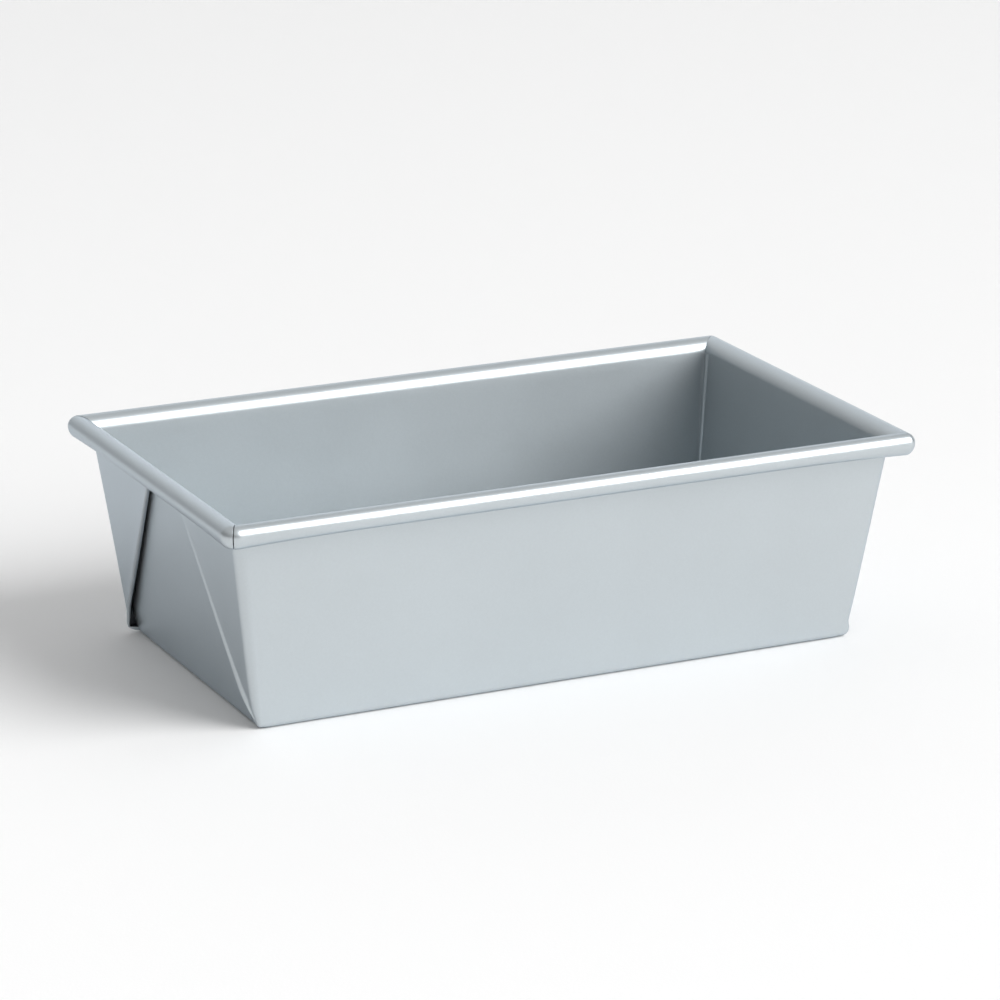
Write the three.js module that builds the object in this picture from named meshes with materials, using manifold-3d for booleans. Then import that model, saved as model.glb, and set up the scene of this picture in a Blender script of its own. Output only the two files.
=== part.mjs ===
// Loaf pan folded from one blank of sheet steel, with a wired rim. Millimetres, +Z up.
// Origin: middle of the pan on the surface it stands on. X runs along the pan, Y across it.
import * as THREE from 'three';
import Module from 'manifold-3d';

const wasm = await Module();
wasm.setup();

// Driving dimensions
const mouthLength = 228; // inside, from end wall to end wall just under the rim
const mouthWidth = 125.5; // inside, from side wall to side wall just under the rim
const wallHeight = 66.2; // from the table to the top of the ears, just under the rim
const draft = THREE.MathUtils.degToRad(7.9); // all four walls lean out
const sheet = 0.75; // thickness of the blank
const foldGap = 0.3; // between the plies of a folded corner, and from an ear to the bead
const floorBend = 1.9; // inside radius between floor and walls
const floorCorner = 0.9; // plan radius of the flat floor's corners
const cornerLow = 0.6; // inside radius of an upright corner at the floor
const cornerHigh = 1.7; // the same just under the rim
const hemWrap = THREE.MathUtils.degToRad(45); // how far the end wall's edge follows the corner
const wireDiameter = 4.6;
const wireGap = 0.3; // between the wire and the curl round it
const wireButt = 1; // opening between the wire's ends
const lipReach = 1.4; // how much further out the lip carries the wire than a tight curl would
const mouthCorner = 0.6; // inside plan radius where the rim meets the walls
const curlEnd = THREE.MathUtils.degToRad(-165); // direction of the curl's edge from the wire
const mitreSeam = 0.5; // opening between the curls of two neighbouring sides
const tongue = 1; // how deep floor and rim reach into the walls where they join
const joint = 0.02; // how far a tongue lies under the wall's faces, so that no faces coincide

// Sizes that follow
const lean = Math.tan(draft);
const ply = sheet / Math.cos(draft); // level thickness of a leaning wall
const slit = foldGap / Math.cos(draft);
const earStack = 2 * (ply + slit); // an ear's two plies, lying on the end wall
const foldTurn = (ply + slit) / 2; // radius of a flat fold at the middle of the sheet
const thinned = sheet - 2 * joint;
const curlInside = wireDiameter / 2 + wireGap;
const curlOutside = curlInside + sheet;
const wireHeight = wallHeight + foldGap + curlOutside;
const wireOffset = curlInside + lipReach; // from the wall's outside, extended up to the wire
const bendOutside = floorBend + sheet;
const wallFoot = bendOutside * (1 - Math.sin(draft)); // height where the floor bend ends
const quarterTurn = Math.PI / 2;

// The blank's spare wedge at a corner is halved by the ear's diagonal fold. The corner edge leans
// by panelLean inside each wall, so the fold leans inwards by what the half wedge leaves.
const panelLean = Math.atan(Math.sin(draft));
const halfWedge = quarterTurn / 2 - panelLean;
const foldRate = Math.tan(halfWedge - panelLean) / Math.cos(draft);

// Outside faces of the end walls and side walls at a height
const endFace = (z) => mouthLength / 2 + ply + lean * (z - wallHeight);
const sideFace = (z) => mouthWidth / 2 + ply + lean * (z - wallHeight);

function arc(centre, radius, from, to, steps) {
  const points = [];
  for (let i = 0; i <= steps; i++) {
    const angle = THREE.MathUtils.lerp(from, to, i / steps);
    points.push(new THREE.Vector2(Math.cos(angle), Math.sin(angle)).multiplyScalar(radius).add(centre));
  }
  return points;
}

// A closed solid from rows of points. Neighbouring rows are joined point by point; the first and
// the last row are joined to each other, or closed with the triangles of a cap.
function solid(rows, cap = null) {
  const count = rows[0].length;
  const triangles = [];
  const bands = cap ? rows.length - 1 : rows.length;
  for (let i = 0; i < bands; i++) {
    for (let j = 0; j < count; j++) {
      const a = i * count + j;
      const b = i * count + ((j + 1) % count);
      const c = ((i + 1) % rows.length) * count + j;
      const d = ((i + 1) % rows.length) * count + ((j + 1) % count);
      triangles.push(a, c, b, b, c, d);
    }
  }
  if (cap) {
    const last = (rows.length - 1) * count;
    for (const [a, b, c] of cap) {
      triangles.push(a, b, c, last + a, last + c, last + b);
    }
  }
  const points = rows.flat();
  let volume = 0;
  for (let i = 0; i < triangles.length; i += 3) {
    const [a, b, c] = triangles.slice(i, i + 3).map((index) => points[index]);
    volume += a.dot(b.clone().cross(c));
  }
  if (volume < 0) triangles.reverse(); // faces point out
  return new wasm.Manifold(new wasm.Mesh({
    numProp: 3,
    vertProperties: new Float32Array(points.flatMap((point) => point.toArray())),
    triVerts: new Uint32Array(triangles),
  }));
}

function toGeometry(manifold) {
  const { vertProperties, triVerts } = manifold.getMesh();
  const geometry = new THREE.BufferGeometry();
  geometry.setAttribute('position', new THREE.BufferAttribute(vertProperties, 3));
  geometry.setIndex(new THREE.BufferAttribute(triVerts, 1));
  geometry.computeVertexNormals();
  return geometry;
}

// Level section of one folded corner, from side wall to end wall, on one face of the sheet:
// face 1 is the outside, -1 the inside. The side wall bends round the corner into the ear's outer
// ply, turns back at the diagonal fold, and turns again at the hem into the end wall.
function foldedCorner(z, face) {
  const rise = (z - wallFoot) / (wallHeight - wallFoot);
  const inside = THREE.MathUtils.lerp(cornerLow, cornerHigh, rise);
  const reach = inside + ply + earStack;
  const centre = new THREE.Vector2(endFace(z) - inside - ply, sideFace(z) - reach);
  const outerPly = reach - ply / 2;
  const innerPly = outerPly - 2 * foldTurn;
  const endWall = innerPly - 2 * foldTurn;
  const foldStart = sideFace(wallFoot) - cornerLow - ply - earStack - foldTurn;
  const fold = new THREE.Vector2(centre.x + outerPly - foldTurn, foldStart - foldRate * (z - wallFoot));
  const [hem] = arc(centre, endWall + foldTurn, hemWrap, hemWrap, 1);
  const half = face * ply / 2;
  return [
    ...arc(centre, outerPly + half, quarterTurn, 0, 6),
    ...arc(fold, foldTurn + half, 0, -Math.PI, 6),
    ...arc(centre, innerPly - half, 0, hemWrap, 3),
    ...arc(hem, foldTurn - half, hemWrap, hemWrap + Math.PI, 6),
    ...arc(centre, endWall + half, hemWrap, 0, 3),
  ];
}

// The four walls and their ears: one unbroken ribbon of sheet, the same in each quarter of the pan
function walls() {
  const ring = (z, face) => {
    const corner = foldedCorner(z, face);
    const turned = [...corner].reverse();
    return [
      ...corner.map((point) => new THREE.Vector3(point.x, point.y, z)),
      ...turned.map((point) => new THREE.Vector3(point.x, -point.y, z)),
      ...corner.map((point) => new THREE.Vector3(-point.x, -point.y, z)),
      ...turned.map((point) => new THREE.Vector3(-point.x, point.y, z)),
    ];
  };
  return solid([ring(wallFoot, 1), ring(wallHeight, 1), ring(wallHeight, -1), ring(wallFoot, -1)]);
}

// The floor with the bend that lifts it into the walls
function floor() {
  const bendCentre = -(bendOutside * (1 - Math.sin(draft)) + joint) / Math.cos(draft);
  const ring = (offset, z) => {
    const radius = floorCorner + offset - bendCentre;
    const x = endFace(0) + offset - radius;
    const y = sideFace(0) + offset - radius;
    const centres = [[x, y], [-x, y], [-x, -y], [x, -y]];
    return centres.flatMap(([cx, cy], quarter) => {
      const from = quarter * quarterTurn;
      const points = arc(new THREE.Vector2(cx, cy), radius, from, from + quarterTurn, 5);
      return points.map((point) => new THREE.Vector3(point.x, point.y, z));
    });
  };
  const bend = (radius) => arc(new THREE.Vector2(bendCentre, bendOutside), radius, -quarterTurn, -draft, 5);
  const top = wallFoot + tongue;
  const topOffset = lean * top - joint / Math.cos(draft);
  const profile = [
    ...bend(bendOutside),
    new THREE.Vector2(topOffset, top),
    new THREE.Vector2(topOffset - thinned / Math.cos(draft), top),
    ...bend(bendOutside - thinned).reverse(),
  ];
  const rows = profile.map((point) => ring(point.x, point.y));
  const cap = THREE.ShapeUtils.triangulateShape(rows[0].map(({ x, y }) => new THREE.Vector2(x, y)), []);
  return solid(rows, cap);
}

// Section of the rim, as level distance out from the wire and height above it. The wall runs on up,
// rolls out over the wire and curls round under it.
function rimProfile() {
  const wallMiddle = (v) => -wireOffset - ply / 2 + lean * v;
  const curlMiddle = curlInside + sheet / 2;
  const roundness = (4 / 3) * (Math.SQRT2 - 1); // makes a Bezier curve a quarter of an ellipse
  const lip = new THREE.CubicBezierCurve(
    new THREE.Vector2(wallMiddle(0), 0),
    new THREE.Vector2(wallMiddle(roundness * curlMiddle), roundness * curlMiddle),
    new THREE.Vector2(wallMiddle(0) * (1 - roundness), curlMiddle),
    new THREE.Vector2(0, curlMiddle),
  );
  const lipSteps = 6;
  const face = (half) => {
    const across = new THREE.Vector2(Math.cos(draft), -Math.sin(draft)).multiplyScalar(half);
    const foot = wallHeight - wireHeight - tongue;
    const points = [new THREE.Vector2(wallMiddle(foot), foot).add(across)];
    for (let i = 0; i < lipSteps; i++) {
      const along = lip.getTangent(i / lipSteps);
      const normal = new THREE.Vector2(along.y, -along.x).multiplyScalar(half);
      points.push(lip.getPoint(i / lipSteps).add(normal));
    }
    return [...points, ...arc(new THREE.Vector2(), curlMiddle - half, quarterTurn, curlEnd, 14)];
  };
  return [...face(thinned / 2), ...face(-thinned / 2).reverse()];
}

// Plan route of the wire: a rounded rectangle, as points with the level direction that faces out
const rimSection = rimProfile();
const wireBend = mouthCorner - Math.min(...rimSection.map((point) => point.x));
const bendX = endFace(wireHeight) + wireOffset - wireBend;
const bendY = sideFace(wireHeight) + wireOffset - wireBend;
const bendCentres = [
  new THREE.Vector2(bendX, bendY),
  new THREE.Vector2(-bendX, bendY),
  new THREE.Vector2(-bendX, -bendY),
  new THREE.Vector2(bendX, -bendY),
];

function route(corner, from, to, steps) {
  return arc(bendCentres[corner % 4], wireBend, from, to, steps).map((place, i) => {
    const angle = THREE.MathUtils.lerp(from, to, i / steps);
    return { place, out: new THREE.Vector2(Math.cos(angle), Math.sin(angle)) };
  });
}

function sweep(section, stations) {
  const rows = stations.map(({ place, out }) => section.map(({ x, y }) => new THREE.Vector3(
    place.x + out.x * x,
    place.y + out.y * x,
    wireHeight + y,
  )));
  return solid(rows, THREE.ShapeUtils.triangulateShape(section, []));
}

// One side of the rim, from the mitre seam at one corner to the seam at the next
function rimSide(corner) {
  const square = (corner + 1) * quarterTurn;
  const half = quarterTurn / 2 - mitreSeam / 2 / wireBend;
  return sweep(rimSection, [
    ...route(corner, square - half, square, 3),
    ...route(corner + 1, square, square + half, 3),
  ]);
}

// The wire hoop, from its butted end on the back side round to the other end
function rimWire() {
  const back = bendY + wireBend;
  const out = new THREE.Vector2(0, 1);
  const section = arc(new THREE.Vector2(), wireDiameter / 2, 0, 2 * Math.PI, 12).slice(0, -1);
  return sweep(section, [
    { place: new THREE.Vector2(-wireButt / 2, back), out },
    ...[1, 2, 3, 4].flatMap((corner) => route(corner, corner * quarterTurn, (corner + 1) * quarterTurn, 6)),
    { place: new THREE.Vector2(wireButt / 2, back), out },
  ]);
}

// Materials
const coatedSteel = new THREE.MeshStandardMaterial({ color: 0xa3adb5, roughness: 0.38, metalness: 0.6 });
const bareSteel = new THREE.MeshStandardMaterial({ color: 0xb8b9ba, roughness: 0.3, metalness: 1 });

// Assembly
const pan = new THREE.Group();
pan.name = 'loaf_pan';

const sides = [0, 1, 2, 3].map(rimSide);
const folded = sides.reduce((body, side) => body.add(side), walls().add(floor()));
const panBody = new THREE.Mesh(toGeometry(folded), coatedSteel);
panBody.name = 'pan_body';
pan.add(panBody);

const wire = new THREE.Mesh(toGeometry(rimWire()), bareSteel);
wire.name = 'rim_wire';
pan.add(wire);

export default pan;
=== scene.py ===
from math import cos, exp, hypot, radians, sin, tan
from types import SimpleNamespace

import bmesh
import bpy
from mathutils import Matrix, Vector


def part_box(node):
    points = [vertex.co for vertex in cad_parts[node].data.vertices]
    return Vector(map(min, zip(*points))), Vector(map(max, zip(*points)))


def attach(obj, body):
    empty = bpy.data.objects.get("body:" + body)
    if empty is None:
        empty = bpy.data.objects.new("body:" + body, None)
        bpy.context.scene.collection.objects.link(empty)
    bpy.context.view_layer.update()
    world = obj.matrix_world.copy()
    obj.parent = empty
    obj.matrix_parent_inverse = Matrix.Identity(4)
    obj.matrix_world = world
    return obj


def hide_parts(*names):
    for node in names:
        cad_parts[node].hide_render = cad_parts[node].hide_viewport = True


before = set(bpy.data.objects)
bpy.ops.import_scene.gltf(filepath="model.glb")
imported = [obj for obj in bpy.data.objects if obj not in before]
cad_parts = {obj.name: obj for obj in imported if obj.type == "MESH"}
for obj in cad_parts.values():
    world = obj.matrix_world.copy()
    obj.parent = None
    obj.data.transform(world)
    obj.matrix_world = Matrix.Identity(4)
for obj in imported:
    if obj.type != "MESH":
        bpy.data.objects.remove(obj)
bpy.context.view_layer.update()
mm = 0.001  # meshes are drawn in millimetres and scaled to metres at the end
touch = 0.001  # mm, nearer than this counts as the same place
slack = 0.05  # mm, for telling two sides of a line apart
print("frame loaded:", sorted(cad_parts))


# Camera, at the viewing angle of the photograph
viewPoint = {
    "azimuth": -25.4386,
    "elevation": 17.1281,
    "distance": 1.50134,
    "target": (0.0041455, 0.0, 0.0464267),
    "lens": 162.477,
    "sensor": 36,
}


def makeCamera(setup):
    turn, rise = radians(setup["azimuth"]), radians(setup["elevation"])
    back = Vector((sin(turn) * cos(rise), -cos(turn) * cos(rise), sin(rise)))
    data = bpy.data.cameras.new("photo_camera")
    data.lens = setup["lens"]
    data.sensor_width = setup["sensor"]
    camera = bpy.data.objects.new("photo_camera", data)
    camera.location = Vector(setup["target"]) + back * setup["distance"]
    camera.rotation_euler = (-back).to_track_quat("-Z", "Y").to_euler()
    bpy.context.scene.collection.objects.link(camera)
    bpy.context.scene.camera = camera


makeCamera(viewPoint)
print("camera placed")


# Strokes: a vertex is pulled along or spun round, and leaves edges behind it

def pullTo(bm, vert, x, y, steps=1):
    start, goal = vert.co.copy(), Vector((x, y, vert.co.z))
    edges = []
    for i in range(steps):
        made = bmesh.ops.extrude_vert_indiv(bm, verts=[vert])
        vert = made["verts"][0]
        vert.co = start.lerp(goal, (i + 1) / steps)
        edges += made["edges"]
    return vert, edges


def pullAlong(bm, vert, points):
    edges = []
    for point in points:
        vert, made = pullTo(bm, vert, *point)
        edges += made
    return vert, edges


def newEdges(bm, before):
    return [edge for edge in bm.edges if edge not in before]


def swingRound(bm, vert, centre, degrees, steps):
    before = set(bm.edges)
    made = bmesh.ops.spin(bm, geom=[vert], cent=(*centre, vert.co.z), axis=(0, 0, 1),
                          angle=radians(degrees), steps=steps)
    last = [part for part in made["geom_last"] if isinstance(part, bmesh.types.BMVert)]
    return last[0], newEdges(bm, before)


def vertsOf(edges):
    return list(dict.fromkeys(vert for edge in edges for vert in edge.verts))


def edgesOf(made):
    return [part for part in made if isinstance(part, bmesh.types.BMEdge)]


def spinEdges(bm, edges, centre, axis, degrees, steps):
    made = bmesh.ops.spin(bm, geom=vertsOf(edges) + edges, cent=centre, axis=axis,
                          angle=radians(degrees), steps=steps)
    return edgesOf(made["geom_last"])


def pullEdges(bm, edges, shift):
    made = bmesh.ops.extrude_edge_only(bm, edges=edges)["geom"]
    verts = [part for part in made if isinstance(part, bmesh.types.BMVert)]
    bmesh.ops.translate(bm, verts=verts, vec=shift)
    chain = set(verts)
    return [edge for edge in edgesOf(made) if set(edge.verts) <= chain]


# The folded sheet: floor, walls, ears and rolled rim in one piece
panSheet = {
    "gauge": 0.75,  # thickness of the sheet
    "draft": 7.9,  # lean of the walls, degrees
    "wireClear": 0.27,  # between wire and curl
    "lipReach": 1.4,  # from the curl's inside back to the wall
    "lipRoot": 0.1,  # the upright corners end this far below the lip
    "rimDrop": 3.65,  # from the wire's middle down to the tops of the ears
    "curlTurn": 255,  # degrees round the wire
    "mitrePoint": 0.1,  # the curl's turn at a mitre closes to one point within this
    "cornerSag": 0.9,  # how much lower the bead hangs at its corners
    "sagLength": 42,  # run of the bead over which it does
    "floorBend": 1.9,  # inside radius
    "trayCorner": 3.17,  # plan radius of the tray's corner where the walls start
    "trayEnd": 0.9,  # share of the gauge where that corner ends inside the side wall
    "cornerLow": 0.25,  # inside radius of an upright corner, at the floor and under the rim
    "cornerHigh": 1.5,
    "hemWrap": 45,  # degrees that the inner plies wrap round the corner
    "openSlope": 0.5,  # most that an ear can stand off, as a share of its width
    "openBlend": 4,  # how sharply it comes to that most
    "crestRun": 2.8,  # how wide the crest is along an ear's fold
    "crestShare": 0.7,  # and its most, as a share of the ear
    "crestFade": 66,  # height at which it is gone
    "leastWidth": 0.8,  # softens the ear's tip
    "slitShadeEdge": 0.7,  # where the painted slit shade starts, in radii of the fold
    "pressed": 0.55,  # share of the gauge lost where the plies are crushed at the bottom
    "pressHeight": 5,
    "toeHeight": 2.6,  # middle of the swell
    "toeTurn": (-0.6, -0.8),  # the pulls that close a toe under its ear
    "toeTuck": -1.2,
    "patchPinch": 0.5,  # a toe pinched more than this gets a patch
    "rows": (0, 0.9, 1.9, 3.2, 5.2, 8, 12, 17, 23, 30, 38, 47, 56),
    "steps": {"side": 16, "bend": 8, "ear": 4, "crest": 5, "fold": 10, "earIn": 4, "wrap": 4, "hem": 8,
              "end": 10, "floorBend": 7, "tray": 8, "lip": 8, "curl": 24, "mitre": 10},
    "cutEdge": 0.04,  # softening of the cut edges
    "cutAngle": 75,
    "cutSegments": 2,
}

# No two corners came out of the folding alike, lengths in mm
# gap: between the plies; widen: of the ear with each mm of height; drawn: its tip, towards the corner
# open: how far the ear's edge stands off at the bottom and at the top; crest: along its fold
# swell: of the bunched sheet at the bottom, and its spread; tuck: of the corner, and up to what height
# pinch: share by which the toe is drawn in to the tray; seam: width of the rim's mitre
# slip: degrees that the seam has moved round to the side; elbow: lip step that the bead turns round
cornerFolds = {
    "nearLeft": {"at": (-1, -1), "gap": 0.08, "widen": 0.76, "drawn": 0.5, "open": (0.5, 0.1), "crest": 0.8,
                 "swell": (0.0, 1.9), "tuck": (0.3, 8), "pinch": 0.0, "seam": 0.45, "slip": 16, "elbow": 2},
    "nearRight": {"at": (1, -1), "gap": 0.28, "widen": 0.75, "drawn": 0.1, "open": (0.6, 0.1), "crest": 0.6,
                  "swell": (1.3, 1.9), "tuck": (0.0, 8), "pinch": 0.0, "seam": 0.3, "slip": 4, "elbow": 0},
    "farLeft": {"at": (-1, 1), "gap": 0.06, "widen": 0.86, "drawn": 3.1, "open": (0.6, 0.45), "crest": 0.2,
                "swell": (1.2, 3.6), "tuck": (-1.1, 26), "pinch": 0.85, "seam": 0.7, "slip": 8, "elbow": 0},
    "farRight": {"at": (1, 1), "gap": 0.16, "widen": 0.77, "drawn": 1.0, "open": (1.2, 0.3), "crest": 0.7,
                 "swell": (0.5, 1.9), "tuck": (0.2, 8), "pinch": 0.2, "seam": 0.4, "slip": -5, "elbow": 0},
}


def sheetSizes(setup):
    wireLow, wireHigh = (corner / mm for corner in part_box("rim_wire"))
    made = SimpleNamespace()
    made.draft = radians(setup["draft"])
    made.lean = tan(made.draft)
    made.ply = setup["gauge"] / cos(made.draft)  # level thickness of a leaning wall
    made.wireRadius = (wireHigh.z - wireLow.z) / 2
    made.wire = wireHigh - Vector((1, 1, 1)) * made.wireRadius
    made.curl = made.wireRadius + setup["wireClear"] + setup["gauge"] / 2
    made.wallReach = made.wireRadius + setup["wireClear"] + setup["lipReach"] + made.ply / 2
    made.top = made.wire.z - setup["rimDrop"]
    made.bend = setup["floorBend"] + setup["gauge"] / 2
    made.bendHeight = setup["floorBend"] + setup["gauge"]
    made.foot = made.bendHeight - made.bend * sin(made.draft)
    return made


sheet = sheetSizes(panSheet)


def wallX(z):  # middle of an end wall's sheet
    return sheet.wire.x - sheet.wallReach + sheet.lean * (z - sheet.wire.z)


def wallY(z):  # middle of a side wall's sheet
    return sheet.wire.y - sheet.wallReach + sheet.lean * (z - sheet.wire.z)


def cornerSizes(setup, corner, z):
    at = SimpleNamespace()
    at.share = 1 - setup["pressed"] * exp(-(z - sheet.foot) / setup["pressHeight"])
    gauge = setup["gauge"] * at.share
    at.turn = (gauge + corner["gap"]) / cos(sheet.draft) / 2  # radius of a pressed fold
    rise = (z - sheet.foot) / (sheet.top - sheet.foot)
    inside = setup["cornerLow"] + (setup["cornerHigh"] - setup["cornerLow"]) * rise
    at.endPly = inside + sheet.ply / 2
    at.innerPly = at.endPly + 2 * at.turn
    at.outerPly = at.endPly + 4 * at.turn
    at.centre = Vector((wallX(z) - at.endPly, wallY(z) - at.outerPly))
    swell = corner["swell"][0] * exp(-((z - setup["toeHeight"]) / corner["swell"][1]) ** 2)
    tuck = corner["tuck"][0] * exp(-(z - sheet.foot) / corner["tuck"][1])
    at.outer = at.centre + Vector((swell - tuck, 0))

    width = corner["widen"] * z - corner["drawn"] - at.outerPly - sheet.ply / 2 - at.turn - gauge / 2
    at.width = (width + hypot(width, setup["leastWidth"])) / 2
    at.crestRun = min(setup["crestRun"], setup["crestShare"] * at.width)
    at.crest = corner["crest"] * (1 - z / setup["crestFade"]) * at.crestRun / setup["crestRun"]
    most, blend = setup["openSlope"] * at.width, setup["openBlend"]
    standOff = corner["open"][0] + (corner["open"][1] - corner["open"][0]) * rise
    at.standOff = standOff * most / (standOff ** blend + most ** blend) ** (1 / blend)
    at.fold = Vector((at.outer.x + at.outerPly - at.turn + at.standOff, at.outer.y - at.width))
    return at


def sharesOf(steps):
    return [(i + 1) / steps for i in range(steps)]


def earOutline(setup, at):  # the ear's outer ply, from the corner bend out to the crest of its fold
    steps = setup["steps"]
    flat = [Vector((0, -(at.width - at.crestRun) * share)) for share in sharesOf(steps["ear"])]
    crest = []
    for share in sharesOf(steps["crest"]):
        lift = at.crest * share * share * (3 - 2 * share)  # starts and ends level
        crest.append(Vector((lift, at.crestRun * (1 - share) - at.width)))
    root = at.outer + Vector((at.outerPly, 0))
    return [[root + point + Vector((-point.y / at.width * at.standOff, 0)) for point in points]
            for points in (flat, crest)]


foldedStrokes = ("bend", "earOut", "crest", "fold", "earIn", "tuck", "hem", "endBend")


def thinDown(bm, edges, share):  # weights of the vertex group that carries the gauge
    weights = bm.verts.layers.deform.active
    for vert in vertsOf(edges):
        vert[weights][0] = share


def mark(bm, name, verts):  # masks that the coat's finish reads: wear with a painted highlight along the folds, and painted shade in the slits
    layer = bm.verts.layers.float[name]
    for vert in verts:
        vert[layer] = 1


def drawSection(bm, setup, corner, z):
    steps = setup["steps"]
    at, low = cornerSizes(setup, corner, z), cornerSizes(setup, corner, sheet.foot)
    trayX = wallX(sheet.foot) - setup["trayCorner"] - low.centre.x
    trayY = wallY(sheet.foot) - setup["trayCorner"] - low.centre.y
    wrap = radians(setup["hemWrap"])
    hem = at.centre + Vector((cos(wrap), sin(wrap))) * (at.endPly + at.turn)
    flat, crest = earOutline(setup, at)

    row = {}
    pen = bm.verts.new((0, wallY(z), z))
    pen, row["side"] = pullTo(bm, pen, at.centre.x + trayX, wallY(z), steps["side"])
    pen, row["sideEnd"] = pullTo(bm, pen, at.outer.x, wallY(z))
    pen, row["bend"] = swingRound(bm, pen, at.outer, -90, steps["bend"])
    pen, row["earOut"] = pullAlong(bm, pen, flat)
    pen, row["crest"] = pullAlong(bm, pen, crest)
    foldCentre = at.fold + Vector((at.crest / 2, 0))
    pen, row["fold"] = swingRound(bm, pen, foldCentre, -180, steps["fold"])
    pen, row["earIn"] = pullTo(bm, pen, at.centre.x + at.innerPly, at.centre.y, steps["earIn"])
    pen, row["tuck"] = swingRound(bm, pen, at.centre, setup["hemWrap"], steps["wrap"])
    pen, row["hem"] = swingRound(bm, pen, hem, 180, steps["hem"])
    pen, row["endBend"] = swingRound(bm, pen, at.centre, -setup["hemWrap"], steps["wrap"])
    pen, row["endStart"] = pullTo(bm, pen, wallX(z), at.centre.y + trayY)
    pen, row["end"] = pullTo(bm, pen, wallX(z), 0, steps["end"])
    thinDown(bm, [edge for stroke in foldedStrokes for edge in row[stroke]], at.share)
    # wear and painted highlight: the ear's crest and fold are coloured lighter
    mark(bm, "foldWearAndHighlight", vertsOf(row["crest"] + row["fold"]))
    # painted shade: the fold's inner side and the inner ply, deep in the slit, are coloured dark
    hidden = foldCentre.x - setup["slitShadeEdge"] * at.turn
    mark(bm, "paintedSlitShade", [vert for vert in vertsOf(row["fold"] + row["earIn"]) if vert.co.x < hidden])
    return row


def drawWalls(bm, setup, corner):
    heights = [sheet.foot + step for step in setup["rows"]] + [sheet.top]
    rows = [drawSection(bm, setup, corner, z) for z in heights]
    for low, high in zip(rows, rows[1:]):
        for stroke in low:
            bmesh.ops.bridge_loops(bm, edges=low[stroke] + high[stroke])
    return rows[0], rows[-1]


def columnAt(edges, axis, place):  # edges that lie in the plane where x, y or z has one value
    return [edge for edge in edges if all(abs(vert.co[axis] - place) < touch for vert in edge.verts)]


def bendFloor(bm, setup, corner, foot):
    turn, steps = 90 - setup["draft"], setup["steps"]
    inset = sheet.bend * cos(sheet.draft)
    bendX, bendY = wallX(sheet.foot) - inset, wallY(sheet.foot) - inset
    trayX = wallX(sheet.foot) - setup["trayCorner"]
    trayY = wallY(sheet.foot) - setup["trayCorner"]
    at = cornerSizes(setup, corner, sheet.foot)

    before = set(bm.edges)
    sideLine = spinEdges(bm, foot["side"] + foot["sideEnd"], (0, bendY, sheet.bendHeight), (1, 0, 0), -turn,
                         steps["floorBend"])
    sideBend = newEdges(bm, before)

    before = set(bm.edges)
    endLine = spinEdges(bm, foot["end"], (bendX, 0, sheet.bendHeight), (0, 1, 0), turn, steps["floorBend"])
    endBend = newEdges(bm, before)

    before = set(bm.edges)
    last = spinEdges(bm, columnAt(endBend, 1, trayY), (trayX, trayY, 0), (0, 0, 1), 90, steps["tray"])
    thinDown(bm, last, setup["trayEnd"])
    cornerBend = newEdges(bm, before)

    # The toe carries the bend on round the corner and under the ear
    before = set(bm.edges)
    column = columnAt(sideBend, 0, at.outer.x)
    toe = [edge for edge in column if min(vert.co.y for vert in edge.verts) > at.outer.y + slack]
    toe = spinEdges(bm, toe, (*at.outer, 0), (0, 0, 1), -90, steps["bend"])
    flat, crest = earOutline(setup, at)
    path = [at.outer + Vector((at.outerPly, 0))] + flat + crest
    path.append(path[-1] + Vector(setup["toeTurn"]))
    path.append(Vector((wallX(sheet.foot), path[-1].y + setup["toeTuck"])))
    for point, after in zip(path, path[1:]):
        toe = pullEdges(bm, toe, (after - point).to_3d())
    toeEdges = newEdges(bm, before)
    thinDown(bm, toeEdges, at.share)
    under = Vector((trayX + setup["trayCorner"] / 2, trayY + setup["trayCorner"] / 2, setup["gauge"]))
    for vert in vertsOf(toeEdges + column):
        vert.co = vert.co.lerp(under, corner["pinch"] * (1 - vert.co.z / sheet.foot))
    earFoot = foot["bend"] + foot["earOut"] + foot["crest"]
    bmesh.ops.remove_doubles(bm, verts=vertsOf(toeEdges + earFoot), dist=touch)

    # Where an ear stands far off, a flat patch closes the pocket between toe, ear and end wall; it is
    # coloured dark as painted shade
    if corner["pinch"] > setup["patchPinch"]:
        inCorner = at.centre + Vector((at.innerPly, 0))
        patch = [bm.verts.new((*point, sheet.foot)) for point in (*path[-3:], inCorner)]
        bmesh.ops.contextual_create(bm, geom=patch)
        thinDown(bm, patch[0].link_edges[:] + patch[2].link_edges[:], at.share)
        mark(bm, "paintedSlitShade", patch)

    # The flat floor, closed along the two middle lines
    sideLine = [edge for edge in sideLine if max(vert.co.x for vert in edge.verts) < trayX + touch]
    cornerLine = columnAt(cornerBend, 2, setup["gauge"] / 2)
    meeting = [vert for vert in vertsOf(sideLine + cornerLine) if abs(vert.co.x - trayX) < touch]
    bmesh.ops.remove_doubles(bm, verts=meeting, dist=touch)
    outline = [edge for edge in sideLine + cornerLine + endLine if edge.is_valid]
    start = min(vertsOf(outline), key=lambda vert: vert.co.x)
    finish = min(vertsOf(outline), key=lambda vert: vert.co.y)
    middle, down = pullTo(bm, start, 0, 0)
    bmesh.ops.contextual_create(bm, geom=outline + down + [bm.edges.new((middle, finish))])


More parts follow.
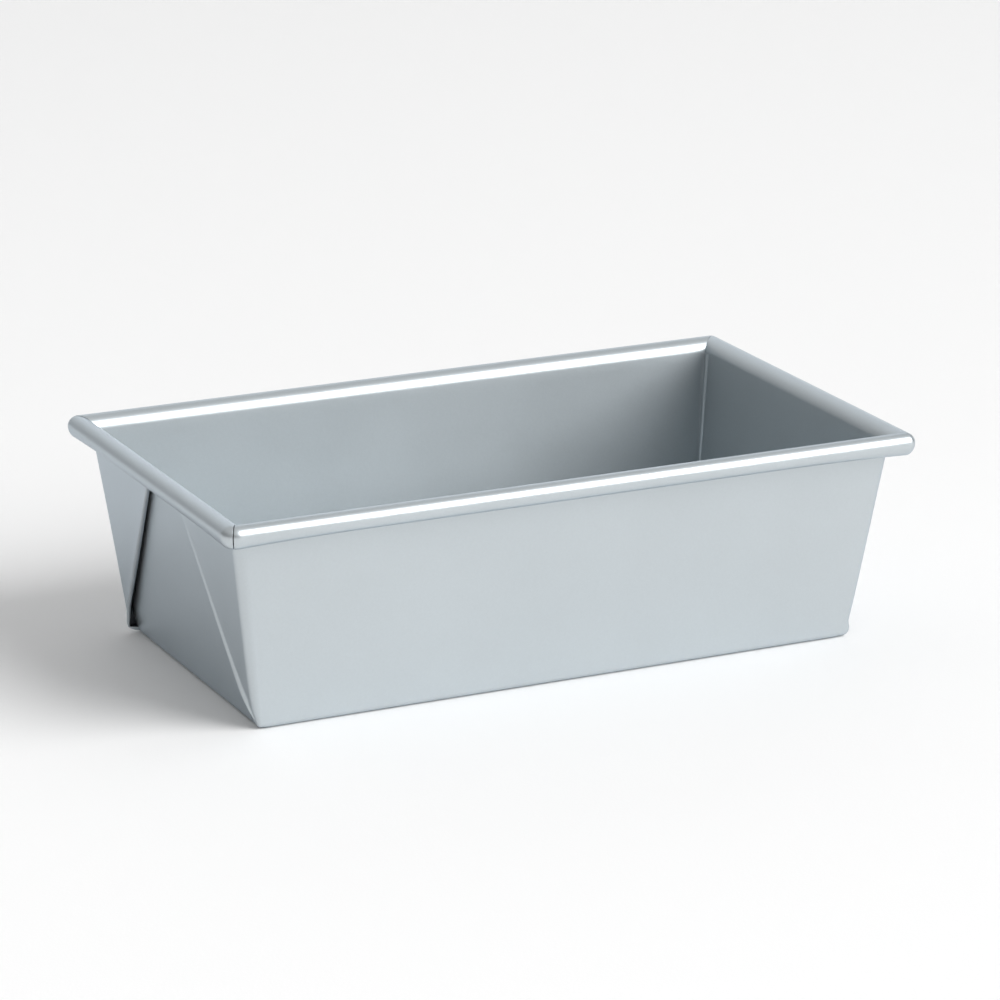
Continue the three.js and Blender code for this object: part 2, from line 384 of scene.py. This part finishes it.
def rollRim(bm, setup, corner, top):
    curl, lean = sheet.curl, sheet.lean
    lip = (sheet.wallReach - lean * curl) / (cos(sheet.draft) - lean * (1 - sin(sheet.draft)))
    lipDrop = curl - lip
    rise = sheet.wire.z + lipDrop + lip * sin(sheet.draft) - sheet.top
    turn, steps = 90 - setup["draft"], setup["steps"]
    elbow = lip * sin(radians(turn * corner["elbow"] / steps["lip"]))
    folded = top["bend"] + top["tuck"] + top["hem"] + top["endBend"]
    pullEdges(bm, folded, Vector((lean, lean, 1)) * (rise - setup["lipRoot"]))
    sides = ((0, top["side"] + top["sideEnd"], -1), (1, top["endStart"] + top["end"], 1))
    for axis, stroke, sign in sides:
        before = set(bm.edges)
        along, out = Vector((1 - axis, axis, 0)), Vector((axis, 1 - axis, 0))
        wireCentre = out * sheet.wire[1 - axis] + Vector((0, 0, sheet.wire.z))
        edges = pullEdges(bm, stroke, out * lean * rise + Vector((0, 0, rise)))
        edges = spinEdges(bm, edges, wireCentre + Vector((0, 0, lipDrop)), along, sign * turn, steps["lip"])
        spinEdges(bm, edges, wireCentre, along, sign * setup["curlTurn"], steps["curl"])
        strip = newEdges(bm, before)
        farthest = max(vert.co[axis] for vert in vertsOf(strip))
        mitre = sheet.wire.xy - Vector((elbow, elbow)) - along.xy * corner["seam"] / 2
        ends = pullEdges(bm, columnAt(strip, axis, farthest), along * (mitre[axis] - farthest))
        past = mitre[1 - axis] - slack
        outer = [edge for edge in ends if min(vert.co[1 - axis] for vert in edge.verts) > past]
        for vert in vertsOf(ends):  # the inner half is cut to the mitre, the outer half turns to it
            vert.co[axis] -= max(mitre[1 - axis] - vert.co[1 - axis], 0)
        spinEdges(bm, outer, (*mitre, 0), (0, 0, 1), sign * 45 + corner["slip"], steps["mitre"])
        close = setup["mitrePoint"]
        point = [vert for vert in vertsOf(newEdges(bm, before)) if (vert.co.xy - mitre).length < close]
        bmesh.ops.remove_doubles(bm, verts=point, dist=close)
        for vert in vertsOf(newEdges(bm, before)):  # the bead hangs lower towards its corners
            low = max(sheet.wire.z - vert.co.z, 0) / curl
            near = min(max((vert.co[axis] - mitre[axis]) / setup["sagLength"] + 1, 0), 1)
            if vert.co[1 - axis] > wireCentre[1 - axis] - curl or near == 1:
                vert.co.z -= setup["cornerSag"] * low * near ** 2


def foldQuarter(setup, corner):
    bm = bmesh.new()
    weights = bm.verts.layers.deform.new("gauge")
    for name in ("foldWearAndHighlight", "paintedSlitShade"):
        bm.verts.layers.float.new(name)
    foot, top = drawWalls(bm, setup, corner)
    bendFloor(bm, setup, corner, foot)
    rollRim(bm, setup, corner, top)
    for vert in bm.verts:
        if 0 not in vert[weights]:
            vert[weights][0] = 1
    bmesh.ops.scale(bm, verts=bm.verts, vec=(*corner["at"], 1))
    mesh = bpy.data.meshes.new("quarter")
    bm.to_mesh(mesh)
    bm.free()
    return mesh


def linkMesh(bm, name):
    mesh = bpy.data.meshes.new(name)
    bm.to_mesh(mesh)
    bm.free()
    piece = bpy.data.objects.new(name, mesh)
    bpy.context.scene.collection.objects.link(piece)
    return piece


def finishMesh(bm, name):
    bmesh.ops.recalc_face_normals(bm, faces=bm.faces)
    bmesh.ops.scale(bm, vec=(mm, mm, mm), verts=bm.verts)
    for face in bm.faces:
        face.smooth = True
    return linkMesh(bm, name)


def makeFoldedSheet(setup, corners):
    bm = bmesh.new()
    for name, corner in corners.items():
        quarter = foldQuarter(setup, corner)
        bm.from_mesh(quarter)
        bpy.data.meshes.remove(quarter)
        print("folded corner:", name)
    middle = [vert for vert in bm.verts if min(abs(vert.co.x), abs(vert.co.y)) < touch]
    bmesh.ops.remove_doubles(bm, verts=middle, dist=touch)
    piece = finishMesh(bm, "folded_sheet")
    piece.vertex_groups.new(name="gauge")
    wall = piece.modifiers.new("gauge", "SOLIDIFY")
    wall.thickness = setup["gauge"] * mm
    wall.vertex_group = "gauge"
    wall.offset = 0
    wall.use_even_offset = True
    wall.use_quality_normals = True
    cut = piece.modifiers.new("cut_edges", "BEVEL")
    cut.width = setup["cutEdge"] * mm
    cut.segments = setup["cutSegments"]
    cut.limit_method = "ANGLE"
    cut.angle_limit = radians(setup["cutAngle"])
    cut.use_clamp_overlap = False  # it would shrink them all to slivers
    piece.modifiers.new("flat_walls", "WEIGHTED_NORMAL")
    return piece


foldedSheet = makeFoldedSheet(panSheet, cornerFolds)
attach(foldedSheet, "root")
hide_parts("pan_body")
print("folded sheet:", len(foldedSheet.data.vertices), "vertices")


# The wire that the rim is curled round, its two ends butted on the back
rimWire = {
    "butt": 1.0,  # gap between the ends
    "elbow": 3.6,  # radius of its bends
    "elbowSteps": 10,
    "facets": 20,
    "endBevel": 0.4,
    "endSegments": 3,
}


def makeRimWire(setup):
    radius = sheet.wireRadius
    far, bend = sheet.wire, sheet.wire.xy - Vector((1, 1)) * setup["elbow"]
    start = Vector((setup["butt"] / 2, far.y, far.z))
    bm = bmesh.new()
    bmesh.ops.create_circle(bm, cap_ends=True, segments=setup["facets"], radius=radius)
    bmesh.ops.rotate(bm, verts=bm.verts, matrix=Matrix.Rotation(radians(90), 3, "Y"))
    bmesh.ops.translate(bm, verts=bm.verts, vec=start)
    edges = list(bm.edges)
    ends = list(edges)
    half = (bend.x - start.x, 0)
    runs = (half, (0, -2 * bend.y), (-2 * bend.x, 0), (0, 2 * bend.y), half)
    corners = ((1, 1), (1, -1), (-1, -1), (-1, 1))
    for i, run in enumerate(runs):
        edges = pullEdges(bm, edges, (*run, 0))
        if i < len(corners):
            centre = (corners[i][0] * bend.x, corners[i][1] * bend.y, far.z)
            edges = spinEdges(bm, edges, centre, (0, 0, 1), -90, setup["elbowSteps"])
    bmesh.ops.contextual_create(bm, geom=edges)
    bmesh.ops.bevel(bm, geom=ends + edges, offset=setup["endBevel"], offset_type="OFFSET", affect="EDGES",
                    segments=setup["endSegments"], profile=0.5, material=-1)
    return finishMesh(bm, "wire_hoop")


wireHoop = makeRimWire(rimWire)
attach(wireHoop, "root")
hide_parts("rim_wire")
print("rim wire:", len(wireHoop.data.vertices), "vertices")


# Finishes
def setInputs(tree, node, values):
    for name, value in values.items():
        if isinstance(value, bpy.types.NodeSocket):
            tree.links.new(value, node.inputs[name])
        else:
            node.inputs[name].default_value = value


def addNode(tree, kind, values=None, **settings):
    node = tree.nodes.new(kind)
    for name, value in settings.items():
        setattr(node, name, value)
    setInputs(tree, node, values or {})
    return node


cloudyGrain = {
    "detail": 3,
    "roughness": 0.55,
    "reach": (0.3, 0.7),  # of the noise, spread to 0 and 1
}


def makeGrainGroup(setup):  # on the piece's own coordinates
    tree = bpy.data.node_groups.new("cloudy_grain", "ShaderNodeTree")
    tree.interface.new_socket("Scale", in_out="INPUT", socket_type="NodeSocketFloat")
    tree.interface.new_socket("Grain", in_out="OUTPUT", socket_type="NodeSocketFloat")
    given = addNode(tree, "NodeGroupInput")
    place = addNode(tree, "ShaderNodeTexCoord")
    noise = addNode(tree, "ShaderNodeTexNoise", {
        "Vector": place.outputs["Object"],
        "Scale": given.outputs["Scale"],
        "Detail": setup["detail"],
        "Roughness": setup["roughness"],
    })
    low, high = setup["reach"]
    values = {"Value": noise.outputs["Fac"], "From Min": low, "From Max": high}
    spread = addNode(tree, "ShaderNodeMapRange", values)
    addNode(tree, "NodeGroupOutput", {"Grain": spread.outputs["Result"]})
    return tree


grainGroup = makeGrainGroup(cloudyGrain)


def addGrain(tree, scale):
    return addNode(tree, "ShaderNodeGroup", {"Scale": scale}, node_tree=grainGroup).outputs["Grain"]


def startMaterial(name):
    material = bpy.data.materials.new(name)
    material.use_nodes = True
    return material, material.node_tree, material.node_tree.nodes["Principled BSDF"]


def mixColour(tree, factor, one, two):
    values = {0: factor, 6: one, 7: two}  # the colour sockets of the Mix node
    return addNode(tree, "ShaderNodeMix", values, data_type="RGBA").outputs[2]


def mixValue(tree, factor, one, two):
    values = {"Value": factor, "To Min": one, "To Max": two}
    return addNode(tree, "ShaderNodeMapRange", values).outputs["Result"]


def shade(colour, share=1):
    return (*(part * share for part in colour), 1)


satinCoat = {
    "colour": (0.560, 0.606, 0.630),
    "edgeTint": (0.46, 0.56, 0.66),  # of reflections at a low angle
    "rubbedAndHighlit": (0.585, 0.632, 0.658),  # wear where the coat was stretched over a fold, made lighter as a painted highlight along the fold's edge
    "rubAndHighlightRange": (0.5, 1),  # least and most of it, over the grain
    "slitShadeColour": (0.045, 0.045, 0.05),  # painted shade: dark colour in the slits between the plies
    "contrast": 0.03,  # of the grain, up and down
    "mottleScale": 26,
    "speckleScale": 1300,
    "peelScale": 480,  # fine unevenness of the sprayed coat
    "peelDepth": 0.00002,
    "peelStrength": 0.5,
    "roughness": (0.36, 0.40),
    "metallic": 0.85,
    "gloss": 0.6,  # clear top layer
    "glossRoughness": 0.26,
}


def makeSatinCoat(setup):
    material, tree, shader = startMaterial("satin_release_coat")
    mottle, speckle = addGrain(tree, setup["mottleScale"]), addGrain(tree, setup["speckleScale"])
    both = addNode(tree, "ShaderNodeMath", {0: mottle, 1: speckle}, operation="ADD").outputs[0]
    cloud = addNode(tree, "ShaderNodeMath", {0: both, 1: 0.5}, operation="MULTIPLY").outputs[0]  # mean
    dark, light = (shade(setup["colour"], 1 + sign * setup["contrast"]) for sign in (-1, 1))
    colour = mixColour(tree, cloud, dark, light)
    # the folds' wear, lighter as a painted highlight on the fold edges
    wearAndHighlight = addNode(tree, "ShaderNodeAttribute", attribute_name="foldWearAndHighlight").outputs["Fac"]
    values = {0: wearAndHighlight, 1: mixValue(tree, speckle, *setup["rubAndHighlightRange"])}
    patchy = addNode(tree, "ShaderNodeMath", values, operation="MULTIPLY").outputs[0]
    colour = mixColour(tree, patchy, colour, shade(setup["rubbedAndHighlit"]))
    # painted shade in the slits between the plies
    slitShade = addNode(tree, "ShaderNodeAttribute", attribute_name="paintedSlitShade").outputs["Fac"]
    peel = addGrain(tree, setup["peelScale"])
    values = {"Height": peel, "Distance": setup["peelDepth"], "Strength": setup["peelStrength"]}
    bump = addNode(tree, "ShaderNodeBump", values)
    setInputs(tree, shader, {
        "Base Color": mixColour(tree, slitShade, colour, shade(setup["slitShadeColour"])),
        "Roughness": mixValue(tree, cloud, *setup["roughness"]),
        "Metallic": setup["metallic"],
        "Specular Tint": shade(setup["edgeTint"]),
        "Coat Weight": setup["gloss"],
        "Coat Roughness": setup["glossRoughness"],
        "Normal": bump.outputs["Normal"],
    })
    return material


drawnSteel = {
    "dark": (0.40, 0.40, 0.39),
    "light": (0.58, 0.58, 0.57),
    "grainScale": 700,
    "roughness": (0.26, 0.42),
}


def makeDrawnSteel(setup):
    material, tree, shader = startMaterial("drawn_wire_steel")
    grain = addGrain(tree, setup["grainScale"])
    setInputs(tree, shader, {
        "Base Color": mixColour(tree, grain, shade(setup["dark"]), shade(setup["light"])),
        "Roughness": mixValue(tree, grain, *setup["roughness"]),
        "Metallic": 1,
    })
    return material


foldedSheet.data.materials.append(makeSatinCoat(satinCoat))
wireHoop.data.materials.append(makeDrawnSteel(drawnSteel))
print("finishes made")


# Table and light
studio = {
    "tableSize": 40,
    "worldLight": 0.19,
    "board": {"left": -2.4, "right": 3.2, "back": 2.6, "height": 2.2},  # card behind the table
    "lamps": {
        # strength, spread, turn from the pan's front towards its right, rise
        "key": (2.85, 46, 42.3, 33.7),
        "overhead": (1.0, 125, 42.3, 85),
    },
}


paperGrain = {
    "scale": 900,
    "depth": 0.00005,
    "strength": 0.3,
    "roughness": (0.85, 0.95),
    "specular": 0.1,
}
tablePaper = {
    "axis": "Y",
    "reach": (-0.3, 1.1),
    "shades": (0.955, 0.78),  # painted shade: darker towards the back, as the paper falls away from the light
}
boardPaper = {
    "axis": "X",
    "reach": (-1.6, 0.6),
    # painted shade: darker towards the board's left end, for a dim left side of the studio
    "shades": (0.42, 0.9),
}


def makePaper(name, setup, finish):
    material, tree, shader = startMaterial(name)
    place = addNode(tree, "ShaderNodeTexCoord").outputs["Object"]
    place = addNode(tree, "ShaderNodeSeparateXYZ", {0: place})
    low, high = setup["reach"]
    values = {"Value": place.outputs[setup["axis"]], "From Min": low, "From Max": high}
    along = addNode(tree, "ShaderNodeMapRange", values).outputs["Result"]
    one, two = (shade((1, 1, 1), part) for part in setup["shades"])
    grain = addGrain(tree, finish["scale"])
    values = {"Height": grain, "Distance": finish["depth"], "Strength": finish["strength"]}
    bump = addNode(tree, "ShaderNodeBump", values)
    setInputs(tree, shader, {
        "Base Color": mixColour(tree, along, one, two),
        "Roughness": mixValue(tree, grain, *finish["roughness"]),
        "Specular IOR Level": finish["specular"],
        "Normal": bump.outputs["Normal"],
    })
    return material


def makeLamp(name, strength, spread, turn, rise):
    lamp = bpy.data.objects.new(name, bpy.data.lights.new(name, "SUN"))
    lamp.data.energy = strength
    lamp.data.angle = radians(spread)
    turn, rise = radians(turn), radians(rise)
    toLamp = Vector((sin(turn) * cos(rise), -cos(turn) * cos(rise), sin(rise)))
    lamp.rotation_euler = (-toLamp).to_track_quat("-Z", "Y").to_euler()
    bpy.context.scene.collection.objects.link(lamp)


def makeStageSheet(name, width, depth, place, tilt, paper):
    bm = bmesh.new()
    bmesh.ops.create_grid(bm, x_segments=1, y_segments=1, size=0.5)
    bmesh.ops.scale(bm, verts=bm.verts, vec=(width, depth, 1))
    bmesh.ops.rotate(bm, verts=bm.verts, matrix=Matrix.Rotation(radians(tilt), 3, "X"))
    bmesh.ops.translate(bm, verts=bm.verts, vec=place)
    piece = linkMesh(bm, name)
    piece.data.materials.append(paper)


def makeStudio(setup):
    size, board = setup["tableSize"], setup["board"]
    paper = makePaper("table_paper", tablePaper, paperGrain)
    makeStageSheet("table", size, size, (0, 0, 0), 0, paper)
    middle = ((board["left"] + board["right"]) / 2, board["back"], board["height"] / 2)
    width = board["right"] - board["left"]
    paper = makePaper("board_paper", boardPaper, paperGrain)
    makeStageSheet("back_board", width, board["height"], middle, 90, paper)

    world = bpy.data.worlds.new("studio")
    bpy.context.scene.world = world
    world.use_nodes = True
    background = world.node_tree.nodes["Background"]
    background.inputs["Color"].default_value = (1, 1, 1, 1)
    background.inputs["Strength"].default_value = setup["worldLight"]
    for name, lamp in setup["lamps"].items():
        makeLamp(name, *lamp)


makeStudio(studio)
bpy.context.scene.view_settings.view_transform = "Standard"
print("studio set")
